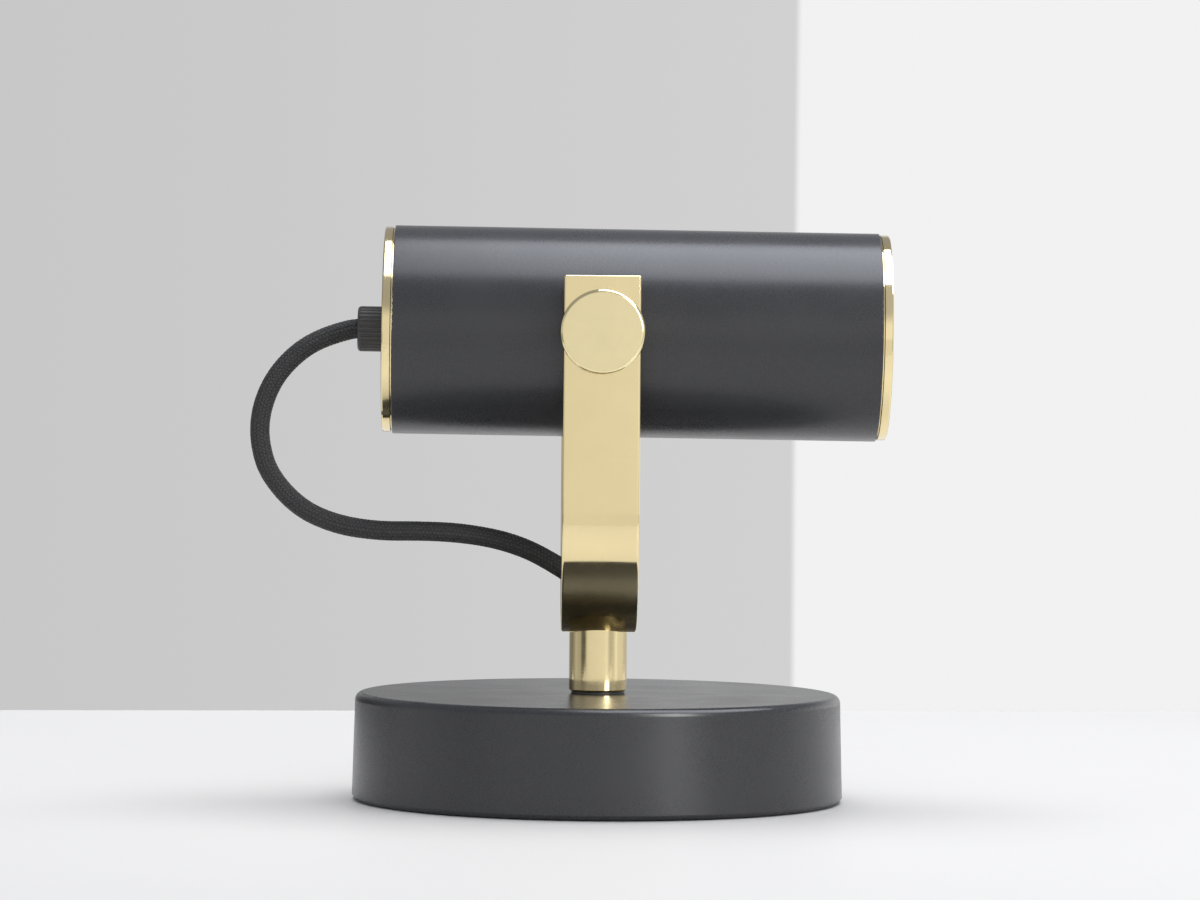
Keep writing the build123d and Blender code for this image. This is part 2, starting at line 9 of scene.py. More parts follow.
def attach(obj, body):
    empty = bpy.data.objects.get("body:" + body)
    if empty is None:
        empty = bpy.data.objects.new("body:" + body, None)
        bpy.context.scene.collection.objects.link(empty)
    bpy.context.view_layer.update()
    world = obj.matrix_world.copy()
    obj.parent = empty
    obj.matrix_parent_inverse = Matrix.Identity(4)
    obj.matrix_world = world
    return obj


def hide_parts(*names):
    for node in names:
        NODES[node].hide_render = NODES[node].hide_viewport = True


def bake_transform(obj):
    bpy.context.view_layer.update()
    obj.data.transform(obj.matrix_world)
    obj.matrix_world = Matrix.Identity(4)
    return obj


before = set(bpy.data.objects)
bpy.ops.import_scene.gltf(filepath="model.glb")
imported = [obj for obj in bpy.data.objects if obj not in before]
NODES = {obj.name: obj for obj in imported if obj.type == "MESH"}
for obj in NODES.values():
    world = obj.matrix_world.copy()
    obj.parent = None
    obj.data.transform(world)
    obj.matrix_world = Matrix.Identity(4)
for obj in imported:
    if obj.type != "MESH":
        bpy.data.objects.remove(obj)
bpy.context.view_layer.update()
SCENE = bpy.context.scene

PIVOT_Z = 0.1572
TILT = math.radians(0.5)                  # the head rests this far nose down

# ------------------------------------------------------------------ camera
AIM = Vector((0.00006, 0.0, 0.1178))
EYE = Vector((-0.0218, -1.6500, 0.1433))
ROLL = math.radians(0.50)
cam_data = bpy.data.cameras.new("camera")
cam_data.lens = 147.06
cam_data.sensor_width = 36.0
cam_data.clip_start, cam_data.clip_end = 0.05, 30.0
camera = bpy.data.objects.new("camera", cam_data)
SCENE.collection.objects.link(camera)
camera.location = EYE
camera.rotation_mode = "QUATERNION"
camera.rotation_quaternion = (AIM - EYE).to_track_quat("-Z", "Y") @ Quaternion((0, 0, 1), ROLL)
SCENE.camera = camera
SCENE.view_settings.view_transform = "Standard"
SCENE.view_settings.look = "None"


# ------------------------------------------------------------------ node helpers
class Mat:
    """A node material with short calls for its parts. Coordinates are the piece's own, in metres."""

    def __init__(self, name, color=(0.8, 0.8, 0.8), rough=0.5, metal=0.0, ior=1.5, **sockets):
        self.m = bpy.data.materials.new(name)
        self.m.use_nodes = True
        self.t = self.m.node_tree
        self.b = self.t.nodes["Principled BSDF"]
        self.set("Base Color", (*color, 1.0))
        self.set("Roughness", rough)
        self.set("Metallic", metal)
        self.set("IOR", ior)
        for k, v in sockets.items():
            self.set(k.replace("_", " "), v)
        self.co = self.node("ShaderNodeTexCoord").outputs["Object"]

    def set(self, socket, value):
        self.b.inputs[socket].default_value = value

    def node(self, kind, **props):
        n = self.t.nodes.new(kind)
        for k, v in props.items():
            setattr(n, k, v)
        return n

    def link(self, a, b):
        self.t.links.new(a, b)

    def put(self, socket, value):
        if isinstance(value, bpy.types.NodeSocket):
            self.link(value, socket)
        else:
            socket.default_value = value

    def math(self, op, a, b=0.0, c=0.0, clamp=False):
        n = self.node("ShaderNodeMath", operation=op, use_clamp=clamp)
        for s, v in zip(n.inputs, (a, b, c)):
            self.put(s, v)
        return n.outputs[0]

    def vmath(self, op, a, b=(0, 0, 0)):
        n = self.node("ShaderNodeVectorMath", operation=op)
        self.put(n.inputs[0], a)
        self.put(n.inputs[1], b)
        return n.outputs["Value"] if op in ("LENGTH", "DOT_PRODUCT", "DISTANCE") else n.outputs[0]

    def xyz(self, v):
        n = self.node("ShaderNodeSeparateXYZ")
        self.link(v, n.inputs[0])
        return n.outputs

    def vec(self, x=0.0, y=0.0, z=0.0):
        n = self.node("ShaderNodeCombineXYZ")
        for s, v in zip(n.inputs, (x, y, z)):
            self.put(s, v)
        return n.outputs[0]

    def place(self, v, loc=(0, 0, 0), rot=(0, 0, 0), scale=(1, 1, 1)):
        n = self.node("ShaderNodeMapping")
        self.link(v, n.inputs[0])
        n.inputs["Location"].default_value = loc
        n.inputs["Rotation"].default_value = rot
        n.inputs["Scale"].default_value = scale
        return n.outputs[0]

    def noise(self, v, scale, detail=3.0, rough=0.5, distort=0.0):
        n = self.node("ShaderNodeTexNoise")
        self.link(v, n.inputs["Vector"])
        n.inputs["Scale"].default_value = scale
        n.inputs["Detail"].default_value = detail
        n.inputs["Roughness"].default_value = rough
        n.inputs["Distortion"].default_value = distort
        return n.outputs["Fac"]

    def cells(self, v, scale, feature="F1", out="Distance", randomness=1.0):
        n = self.node("ShaderNodeTexVoronoi", feature=feature)
        self.link(v, n.inputs["Vector"])
        n.inputs["Scale"].default_value = scale
        n.inputs["Randomness"].default_value = randomness
        return n.outputs[out]

    def span(self, v, a, b, c=0.0, d=1.0, smooth=False):
        n = self.node("ShaderNodeMapRange", clamp=True,
                      interpolation_type="SMOOTHSTEP" if smooth else "LINEAR")
        self.put(n.inputs["Value"], v)
        for s, x in zip(("From Min", "From Max", "To Min", "To Max"), (a, b, c, d)):
            self.put(n.inputs[s], x)
        return n.outputs["Result"]

    def mix(self, f, a, b, mode="MIX"):
        n = self.node("ShaderNodeMix", data_type="RGBA", blend_type=mode)
        self.put(n.inputs["Factor"], f)
        for s, v in ((n.inputs[6], a), (n.inputs[7], b)):
            self.put(s, (*v, 1.0) if isinstance(v, tuple) and len(v) == 3 else v)
        return n.outputs[2]

    def bump(self, height, strength=1.0, distance=0.0001, below=None):
        n = self.node("ShaderNodeBump")
        self.put(n.inputs["Height"], height)
        n.inputs["Strength"].default_value = strength
        n.inputs["Distance"].default_value = distance
        if below is not None:
            self.link(below, n.inputs["Normal"])
        return n.outputs[0]

    def wire(self, color=None, rough=None, normal=None, metal=None):
        for s, v in (("Base Color", color), ("Roughness", rough), ("Normal", normal), ("Metallic", metal)):
            if v is not None:
                self.link(v, self.b.inputs[s])
        return self.m


def grade(color, k):
    return tuple(min(1.0, c * k) for c in color)


# ------------------------------------------------------------------ surface families
def powder_coat(name, color, seed=0.0):
    """Satin powder coat: fine orange peel, faint mottling, a little dust on top."""
    m = Mat(name, color, 0.28, ior=1.5)
    v = m.place(m.co, loc=(seed, seed * 0.7, seed * 1.3))
    cloud = m.noise(v, 38, 4, 0.55)
    grain = m.noise(v, 2600, 2, 0.6)
    peel = m.noise(v, 760, 2, 0.5)
    tone = m.mix(m.span(cloud, 0.32, 0.7), grade(color, 0.93), grade(color, 1.07))
    tone = m.mix(m.span(grain, 0.35, 0.75), tone, grade(color, 1.16), "MIX")
    speck = m.span(m.cells(v, 520), 0.0, 0.07, 1.0, 0.0)
    tone = m.mix(m.math("MULTIPLY", speck, 0.25), tone, grade(color, 1.9))
    rough = m.math("ADD", m.span(cloud, 0.3, 0.7, 0.25, 0.30), m.span(grain, 0.3, 0.7, -0.02, 0.03))
    h = m.math("ADD", m.math("MULTIPLY", peel, 0.8), m.math("MULTIPLY", grain, 0.45))
    return m.wire(tone, rough, m.bump(h, 0.35, 0.00003))


def polish(name, color, way="strap", rough=0.09, lacquer=0.0, seed=0.0, coord=None, waves=1.0):
    """Polished metal: hairlines along the polishing direction, soft smears and a few stray scratches."""
    m = Mat(name, color, rough, metal=1.0)
    if lacquer:
        m.set("Coat Weight", lacquer)
        m.set("Coat Roughness", 0.06)
    v = m.place(m.co, loc=(seed, seed * 0.3, seed * 0.9))
    x, y, z = m.xyz(m.co)[:3]
    if way == "strap":                    # hairlines run along the bent strap, so they vary across X
        line = m.place(v, scale=(5200, 42, 42))
    elif way == "turned_z":
        line = m.place(v, scale=(26, 26, 4200))
    elif way == "turned_y":               # rings round an axis along Y through the tilt axis
        dz = m.math("SUBTRACT", z, PIVOT_Z)
        r = m.math("SQRT", m.math("ADD", m.math("MULTIPLY", x, x), m.math("MULTIPLY", dz, dz)))
        line = m.vec(m.math("MULTIPLY", r, 4200), m.math("MULTIPLY", y, 2200), m.math("MULTIPLY", m.math("ARCTAN2", dz, x), 1.2))
    elif way == "turned_head":            # rings round the head's own axis
        hx, hy, hz = m.xyz(m.place(m.place(m.co, loc=(0, 0, -PIVOT_Z)), rot=(0, -TILT, 0)))[:3]
        r = m.math("SQRT", m.math("ADD", m.math("MULTIPLY", hy, hy), m.math("MULTIPLY", hz, hz)))
        line = m.vec(m.math("MULTIPLY", r, 4200), m.math("MULTIPLY", hx, 4200), m.math("MULTIPLY", m.math("ARCTAN2", hz, hy), 1.2))
    else:
        line = m.place(v, scale=(900, 900, 900))
    hair = m.noise(line, 1.0, 3, 0.6)
    smear = m.noise(v, 55, 4, 0.6, 0.6)
    wide = m.noise(v, 16, 2, 0.5)
    s1 = m.noise(m.place(v, rot=(0.3, 0.9, 0.6), scale=(2400, 24, 60)), 1.0, 1, 0.4)
    s2 = m.noise(m.place(v, rot=(1.1, -0.5, 2.1), scale=(3100, 28, 70)), 1.0, 1, 0.4)
    scratch = m.math("MAXIMUM", m.span(s1, 0.735, 0.78), m.span(s2, 0.745, 0.79))
    tone = m.mix(m.span(smear, 0.3, 0.75), grade(color, 0.965), grade(color, 1.02))
    tone = m.mix(m.math("MULTIPLY", scratch, 0.12), tone, grade(color, 0.7))
    ro = m.math("ADD", m.span(smear, 0.28, 0.75, rough * 0.75, rough * 1.45), m.span(hair, 0.35, 0.7, -0.012, 0.03))
    ro = m.math("ADD", ro, m.math("MULTIPLY", scratch, 0.10))
    n = m.bump(m.math("MULTIPLY", wide, waves), 0.10, 0.0006)
    n = m.bump(m.math("ADD", hair, m.math("MULTIPLY", scratch, -1.5)), 0.045, 0.00002, n)
    return m.wire(tone, m.math("MAXIMUM", ro, 0.02), n)


def turned(name, color, way, seed=0.0):
    """Turned, unpolished metal: visible tool rings."""
    m = Mat(name, color, 0.3, metal=1.0)
    v = m.place(m.co, loc=(seed, seed, seed))
    x, y, z = m.xyz(m.co)[:3]
    if way == "z":
        r = m.math("SQRT", m.math("ADD", m.math("MULTIPLY", x, x), m.math("MULTIPLY", y, y)))
        line = m.vec(m.math("MULTIPLY", r, 3000), m.math("MULTIPLY", z, 3000), 0.0)
    elif way == "y":
        dz = m.math("SUBTRACT", z, PIVOT_Z)
        r = m.math("SQRT", m.math("ADD", m.math("MULTIPLY", x, x), m.math("MULTIPLY", dz, dz)))
        line = m.vec(m.math("MULTIPLY", r, 3000), m.math("MULTIPLY", y, 3000), 0.0)
    else:
        line = m.place(v, scale=(60, 3000, 60) if way == "along_y" else (3000, 60, 60))
    ring = m.noise(line, 1.0, 2, 0.6)
    cloud = m.noise(v, 90, 3, 0.6)
    tone = m.mix(m.span(cloud, 0.3, 0.7), grade(color, 0.82), grade(color, 1.05))
    tone = m.mix(m.span(ring, 0.4, 0.7), tone, grade(color, 1.12))
    ro = m.math("ADD", m.span(cloud, 0.3, 0.7, 0.24, 0.36), m.span(ring, 0.35, 0.7, -0.04, 0.06))
    return m.wire(tone, ro, m.bump(ring, 0.35, 0.00004))


def zinc(name, color=(0.60, 0.61, 0.63), seed=0.0):
    """Bright zinc plate: cool grey with faint spangle and yellowish passivation."""
    m = Mat(name, color, 0.3, metal=1.0)
    v = m.place(m.co, loc=(seed, -seed, seed * 0.4))
    cloud = m.noise(v, 70, 4, 0.6)
    spangle = m.cells(v, 420, out="Distance")
    grain = m.noise(v, 2100, 2, 0.6)
    tone = m.mix(m.span(cloud, 0.3, 0.7), grade(color, 0.86), (0.66, 0.655, 0.60))
    tone = m.mix(m.span(spangle, 0.1, 0.7, 0.0, 0.35), tone, grade(color, 1.15))
    ro = m.math("ADD", m.span(cloud, 0.3, 0.7, 0.26, 0.38), m.span(grain, 0.3, 0.7, -0.03, 0.05))
    return m.wire(tone, ro, m.bump(grain, 0.3, 0.00004))


def moulded(name, color, rough=0.45, texture=1700, depth=0.00004, ior=1.5, seed=0.0, strength=0.5, **sockets):
    """Moulded plastic or rubber: spark-eroded skin, slight tonal drift."""
    m = Mat(name, color, rough, ior=ior, **sockets)
    v = m.place(m.co, loc=(seed, seed * 2, -seed))
    cloud = m.noise(v, 60, 3, 0.5)
    skin = m.noise(v, texture, 2, 0.55)
    pits = m.cells(v, texture * 0.6)
    tone = m.mix(m.span(cloud, 0.3, 0.7), grade(color, 0.88), grade(color, 1.10))
    tone = m.mix(m.span(skin, 0.35, 0.75, 0.0, 0.5), tone, grade(color, 1.35))
    ro = m.math("ADD", m.span(cloud, 0.3, 0.7, rough - 0.04, rough + 0.04), m.span(skin, 0.3, 0.7, -0.04, 0.05))
    h = m.math("ADD", skin, m.math("MULTIPLY", pits, 0.5))
    return m.wire(tone, ro, m.bump(h, strength, depth))


def cast_iron(name):
    """Sand-cast disc under black lacquer, rust showing in the pits."""
    color = (0.060, 0.060, 0.062)
    m = Mat(name, color, 0.5, metal=0.3)
    lumps = m.noise(m.co, 420, 5, 0.65)
    pits = m.cells(m.co, 360)
    cloud = m.noise(m.co, 50, 3, 0.6)
    tone = m.mix(m.span(cloud, 0.3, 0.7), grade(color, 0.8), grade(color, 1.3))
    tone = m.mix(m.span(pits, 0.0, 0.16, 0.7, 0.0), tone, (0.14, 0.06, 0.03))
    ro = m.span(lumps, 0.3, 0.7, 0.42, 0.66)
    return m.wire(tone, ro, m.bump(m.math("ADD", lumps, m.math("MULTIPLY", pits, 0.6)), 0.8, 0.0002))


def foam(name):
    """Closed-cell foam sheet with a felted face."""
    color = (0.020, 0.020, 0.022)
    m = Mat(name, color, 0.92, ior=1.35, Sheen_Weight=0.25, Sheen_Roughness=0.6)
    cells = m.cells(m.co, 1500)
    big = m.cells(m.co, 640)
    fibre = m.noise(m.place(m.co, rot=(0, 0, 0.5), scale=(900, 2600, 900)), 1.0, 3, 0.7)
    dust = m.noise(m.co, 120, 5, 0.7)
    tone = m.mix(m.span(cells, 0.1, 0.8), grade(color, 0.6), grade(color, 1.7))
    tone = m.mix(m.span(fibre, 0.5, 0.8, 0.0, 0.5), tone, (0.06, 0.058, 0.055))
    tone = m.mix(m.span(dust, 0.55, 0.8, 0.0, 0.35), tone, (0.11, 0.105, 0.10))
    h = m.math("ADD", m.math("MULTIPLY", big, 0.7), cells)
    return m.wire(tone, m.span(dust, 0.3, 0.7, 0.86, 0.96), m.bump(h, 0.7, 0.00015))


def ceramic(name, seed=0.0):
    """Glazed steatite: warm white, small iron specks, pooled glaze."""
    color = (0.78, 0.75, 0.68)
    m = Mat(name, color, 0.18, ior=1.55, Coat_Weight=0.5, Coat_Roughness=0.08)
    v = m.place(m.co, loc=(seed, seed, 0))
    cloud = m.noise(v, 90, 4, 0.6)
    speck = m.span(m.cells(v, 460), 0.0, 0.09, 1.0, 0.0)
    tone = m.mix(m.span(cloud, 0.3, 0.7), grade(color, 0.93), grade(color, 1.05))
    tone = m.mix(m.math("MULTIPLY", speck, 0.6), tone, (0.32, 0.24, 0.16))
    return m.wire(tone, m.span(cloud, 0.3, 0.7, 0.14, 0.26), m.bump(cloud, 0.25, 0.0004))


def cores(name, axis):
    """Insulated cores in the three usual colours, told apart by where they lie."""
    m = Mat(name, (0.3, 0.2, 0.1), 0.38)
    x, y, z = m.xyz(m.co)[:3]
    side = x if axis == "x" else y
    brown, blue, green, yellow = (0.135, 0.050, 0.022), (0.020, 0.085, 0.33), (0.045, 0.24, 0.045), (0.62, 0.50, 0.03)
    twist = m.node("ShaderNodeTexWave", wave_type="BANDS", bands_direction="DIAGONAL")
    m.link(m.co, twist.inputs["Vector"])
    twist.inputs["Scale"].default_value = 190
    twist.inputs["Distortion"].default_value = 0.3
    earth = m.mix(m.span(twist.outputs["Fac"], 0.45, 0.55), green, yellow)
    live = m.math("LESS_THAN", side, -0.0012)
    neutral = m.math("GREATER_THAN", side, 0.0012)
    if axis == "x":                       # the earth core bends out to its screw past the terminal block
        neutral = m.math("MULTIPLY", neutral, m.math("LESS_THAN", y, 0.0495))
    else:                                 # the earth core swings out to the screw at y = 20 mm
        neutral = m.math("MULTIPLY", neutral, m.math("LESS_THAN", side, 0.0034))
    tone = m.mix(live, earth, brown)
    tone = m.mix(neutral, tone, blue)
    cloud = m.noise(m.co, 400, 3, 0.5)
    tone = m.mix(m.span(cloud, 0.3, 0.7, 0.0, 0.25), tone, (0.9, 0.9, 0.9), "SOFT_LIGHT")
    return m.wire(tone, m.span(cloud, 0.3, 0.7, 0.32, 0.46), m.bump(cloud, 0.2, 0.00003))


# ------------------------------------------------------------------ meshes
def new_piece(name, verts, faces, smooth=True):
    me = bpy.data.meshes.new(name)
    me.from_pydata([tuple(v) for v in verts], [], [tuple(f) for f in faces])
    me.validate()
    if smooth:
        me.shade_smooth()
    me.update()
    o = bpy.data.objects.new(name, me)
    SCENE.collection.objects.link(o)
    return o


def dress(o, material):
    o.data.materials.clear()
    o.data.materials.append(material)


# ------------------------------------------------------------------ linking cord
# The same route as the CAD tube, in metres, as the control points of one smooth spline.
CORD_R = 0.0032
CORD_ROUTE = [
    (-0.0816969, 0.0, 0.1579130), (-0.0841968, 0.0, 0.1579348), (-0.09674, 0.0002, 0.15353),
    (-0.10491, 0.0006, 0.14713), (-0.11091, 0.0010, 0.13917), (-0.11434, 0.0014, 0.12939),
    (-0.11462, 0.0016, 0.11945), (-0.11134, 0.0015, 0.10859), (-0.10142, 0.0012, 0.09765),
    (-0.08886, 0.0008, 0.09198), (-0.07418, 0.0002, 0.08986), (-0.06069, -0.0004, 0.09009),
    (-0.04654, -0.0008, 0.08955), (-0.03395, -0.0010, 0.08751), (-0.02400, -0.0009, 0.08430),
    (-0.01540, -0.0006, 0.07970), (-0.00790, -0.0002, 0.07500), (-0.00270, 0.0, 0.06890),
    (0.0, 0.0, 0.06220), (0.0, 0.0, 0.05500),
]


def spline_points(points, resolution=48):
    """Points along the NURBS spline whose control points are given."""
    cu = bpy.data.curves.new("cord_line", "CURVE")
    cu.dimensions = "3D"
    sp = cu.splines.new("NURBS")
    sp.points.add(len(points) - 1)
    for p, q in zip(sp.points, points):
        p.co = (*q, 1.0)
    sp.order_u = 3
    sp.use_endpoint_u = True
    sp.resolution_u = resolution
    holder = bpy.data.objects.new("cord_line", cu)
    me = bpy.data.meshes.new_from_object(holder)
    out = np.array([v.co for v in me.vertices], float)
    bpy.data.objects.remove(holder)
    bpy.data.curves.remove(cu)
    bpy.data.meshes.remove(me)
    return out


def even(points, step):
    """The same line with evenly spaced points."""
    d = np.r_[0, np.cumsum(np.linalg.norm(np.diff(points, axis=0), axis=1))]
    n = max(2, int(round(d[-1] / step)))
    s = np.linspace(0, d[-1], n + 1)
    return np.c_[[np.interp(s, d, points[:, i]) for i in range(3)]].T, s


def frames(points, first=(0, 1, 0)):
    """Tangents and two turning-free normals at every point."""
    t = np.gradient(points, axis=0)
    t /= np.linalg.norm(t, axis=1)[:, None]
    n = np.zeros_like(t)
    a = np.array(first, float)
    for i in range(len(t)):
        a = a - t[i] * a.dot(t[i])
        a /= np.linalg.norm(a)
        n[i] = a
    return t, n, np.cross(t, n)


def braid(name, points, radius, around=96, step=0.000196, strands=16, pitch=0.0200, depth=0.00021, crown=0.00016):
    """A textile sleeve over a cord: 2 x strands bundles of yarn, each over two and under two."""
    pts, s = even(points, step)
    t, n, b = frames(pts)
    phi = np.linspace(0, 2 * np.pi, around, endpoint=False)
    S, F = np.meshgrid(s, phi / (2 * np.pi), indexing="ij")
    u = strands * (F - S / pitch)
    v = strands * (F + S / pitch)
    i, j = np.round(u), np.round(v)
    a, c = u - i, v - j
    up = depth * np.cos(np.pi / 2 * (i + v - 0.5)) + crown * np.sqrt(np.clip(1 - (1.96 * a) ** 2, 0, 1))
    um = depth * np.cos(np.pi / 2 * (j + u - 2.5)) + crown * np.sqrt(np.clip(1 - (1.96 * c) ** 2, 0, 1))
    top = np.maximum(up, um)
    peak = depth + crown
    wobble = 0.00002 * np.sin(i * 12.9898 + np.floor((v + i) / 4) * 7.233) + 0.00002 * np.sin(j * 4.1 + np.floor((u + j) / 4) * 3.7)
    r = radius + 0.00014 - (peak - top) + wobble
    r = np.minimum(r, radius + 0.00016)
    ring = r[:, :, None] * (np.cos(2 * np.pi * F)[:, :, None] * n[:, None, :] + np.sin(2 * np.pi * F)[:, :, None] * b[:, None, :])
    verts = (pts[:, None, :] + ring).reshape(-1, 3)
    rows = len(pts)
    k = np.arange(around)
    faces = []
    for q in range(rows - 1):
        o0, o1 = q * around, (q + 1) * around
        faces.append(np.c_[o0 + k, o0 + (k + 1) % around, o1 + (k + 1) % around, o1 + k])
    faces = np.concatenate(faces)
    caps = [list(range(around))[::-1], [(rows - 1) * around + x for x in range(around)]]
    me = bpy.data.meshes.new(name)
    me.from_pydata(verts.tolist(), [], faces.tolist() + caps)
    me.shade_smooth()
    me.update()
    o = bpy.data.objects.new(name, me)
    SCENE.collection.objects.link(o)
    for label, data in (("yarn", np.where(up > um, a, c)), ("lean", (up > um).astype(float)), ("high", top / peak),
                        ("bundle", np.where(up > um, np.mod(i, strands), np.mod(j, strands) + 31.0))):
        at = me.attributes.new(label, "FLOAT", "POINT")
        at.data.foreach_set("value", data.astype(np.float32).ravel())
    return o, pts


def braid_material(name):
    color = (0.0225, 0.0225, 0.0235)
    m = Mat(name, color, 0.66, ior=1.48, Sheen_Weight=0.09, Sheen_Roughness=0.4)
    m.b.inputs["Sheen Tint"].default_value = (0.8, 0.8, 0.85, 1.0)

    def attr(label):
        return m.node("ShaderNodeAttribute", attribute_name=label).outputs["Fac"]

    yarn, high, bundle = attr("yarn"), attr("high"), attr("bundle")
    thread = m.math("SINE", m.math("MULTIPLY", yarn, 2 * math.pi * 5.0))
    fuzz = m.noise(m.co, 3800, 3, 0.7)
    own = m.math("FRACT", m.math("MULTIPLY", m.math("SINE", m.math("MULTIPLY", bundle, 12.9898)), 43.76))
    # Painted highlight on the yarn crowns and painted shade in the dips between yarns, scaled by the yarn's height
    tone = m.mix(m.span(high, 0.22, 1.0, smooth=True), grade(color, 0.18), grade(color, 2.3))
    # Painted shade in the grooves between the threads of each yarn
    tone = m.mix(m.span(thread, -1.0, 0.2, 0.45, 0.0), tone, grade(color, 0.35))
    tone = m.mix(m.span(fuzz, 0.55, 0.85, 0.0, 0.6), tone, grade(color, 3.0))
    tone = m.mix(m.math("MULTIPLY", own, 0.35), tone, grade(color, 0.6))
    ro = m.span(fuzz, 0.3, 0.7, 0.54, 0.76)
    h = m.math("ADD", m.math("MULTIPLY", thread, 0.5), m.math("MULTIPLY", fuzz, 0.7))
    return m.wire(tone, ro, m.bump(h, 0.7, 0.00005))


def sleeve_material(name):
    """The same sleeve on the cord's hidden stretches, from the round rod's own coordinates."""
    color = (0.030, 0.030, 0.0315)
    m = Mat(name, color, 0.74, ior=1.45, Sheen_Weight=0.35, Sheen_Roughness=0.45)
    x, y, z = m.xyz(m.co)[:3]
    a = m.math("SINE", m.math("MULTIPLY", m.math("ADD", m.math("ADD", x, y), z), 4400))
    b = m.math("SINE", m.math("MULTIPLY", m.math("SUBTRACT", m.math("SUBTRACT", x, y), z), 4400))
    weave = m.math("MULTIPLY", a, b)
    fuzz = m.noise(m.co, 3800, 3, 0.7)
    # Painted highlight on the raised crossings of the weave and painted shade in its low points
    tone = m.mix(m.span(weave, -0.8, 0.8), grade(color, 0.4), grade(color, 1.5))
    tone = m.mix(m.span(fuzz, 0.55, 0.85, 0.0, 0.5), tone, grade(color, 2.6))
    return m.wire(tone, m.span(fuzz, 0.3, 0.7, 0.64, 0.84), m.bump(m.math("ADD", weave, fuzz), 0.6, 0.00006))


line = spline_points(CORD_ROUTE)
cord, cord_path = braid("linking_cord_sleeve", line, CORD_R)
dress(cord, braid_material("cord_sleeve"))
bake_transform(cord)
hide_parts("linking_cord")


# ------------------------------------------------------------------ inside the bulb
def from_head(x, y, z):
    """A point of the head, measured from the tilt axis along the tube."""
    c, d = math.cos(TILT), math.sin(TILT)
    return Vector((x * c + z * d, y, PIVOT_Z - x * d + z * c))


def reflector_radius(t):
    return 0.0113 + 0.0133 * t ** 0.62 - 0.0013


def facets(name, rings=11, sectors=30, cells=4, bulge=0.00028):
    """Pressed facets lining the reflector: staggered rings of small pillows."""
    verts, faces = [], []
    for q in range(rings):
        t0, t1 = (0.03 + 0.955 * q / rings), (0.03 + 0.955 * (q + 1) / rings)
        for k in range(sectors):
            base = len(verts)
            for i in range(cells + 1):
                u = i / cells
                t = t0 + (t1 - t0) * u
                for j in range(cells + 1):
                    v = j / cells
                    a = 2 * math.pi * (k + v + 0.5 * (q % 2)) / sectors
                    r = reflector_radius(t) - 0.00012 - bulge * 16 * u * (1 - u) * v * (1 - v)
                    verts.append(from_head(0.0254 + 0.028 * t, r * math.cos(a), r * math.sin(a)))
            for i in range(cells):
                for j in range(cells):
                    o = base + i * (cells + 1) + j
                    faces.append((o, o + cells + 1, o + cells + 2, o + 1))
    return new_piece(name, verts, faces)


def wire_tube(name, lines, radius, around=8):
    """Round wires along lists of points."""
    verts, faces = [], []
    for points in lines:
        pts = np.array([tuple(p) for p in points], float)
        _, n, b = frames(pts, (0.3, 0.8, 0.5))
        base = len(verts)
        for p, u, v in zip(pts, n, b):
            for k in range(around):
                a = 2 * math.pi * k / around
                verts.append(p + radius * (math.cos(a) * u + math.sin(a) * v))
        for i in range(len(pts) - 1):
            for k in range(around):
                o, w = base + i * around, (k + 1) % around
                faces.append((o + k, o + w, o + around + w, o + around + k))
        faces.append(tuple(base + k for k in range(around))[::-1])
        faces.append(tuple(base + (len(pts) - 1) * around + k for k in range(around)))
    return new_piece(name, verts, faces)


def mirror_glass(name, seed=0.0):
    m = Mat(name, (0.86, 0.86, 0.87), 0.06, metal=1.0)
    v = m.place(m.co, loc=(seed, seed, seed))
    cloud = m.noise(v, 150, 3, 0.6)
    tint = m.noise(v, 40, 2, 0.5)
    tone = m.mix(m.span(tint, 0.35, 0.65), (0.84, 0.86, 0.90), (0.92, 0.88, 0.84))
    return m.wire(tone, m.span(cloud, 0.3, 0.7, 0.04, 0.11), m.bump(cloud, 0.15, 0.0002))


lining = facets("bulb_facets")
dress(lining, mirror_glass("mirror_facets", 0.4))
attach(lining, "head")

coil = []
for k in range(0, 12 * 14 + 1):
    a = 2 * math.pi * k / 14
    coil.append(from_head(0.0335 + 0.0050 * k / (12 * 14), 0.00062 * math.cos(a), 0.00062 * math.sin(a)))
legs = [[from_head(0.0262 + 0.0073 * k / 12, 0.0014 - 0.0008 * (k / 12) ** 2, 0.0) for k in range(13)],
        [from_head(0.0262, -0.0014, 0.0)] + [from_head(0.0262 + 0.0125 * k / 12, -0.0014, 0.0) for k in range(1, 12)]
        + [from_head(0.0387, -0.0011, 0.0), from_head(0.0386, 0.0003, 0.0005)]]
filament = wire_tube("bulb_filament", [coil] + legs, 0.00013)
dress(filament, zinc("tungsten", (0.30, 0.30, 0.32), seed=0.9))
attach(filament, "head")

# ------------------------------------------------------------------ materials for the CAD nodes
COAT = (0.0312, 0.0320, 0.0360)
BRASS = (0.90, 0.755, 0.43)
KNOB_BRASS = (0.90, 0.780, 0.46)

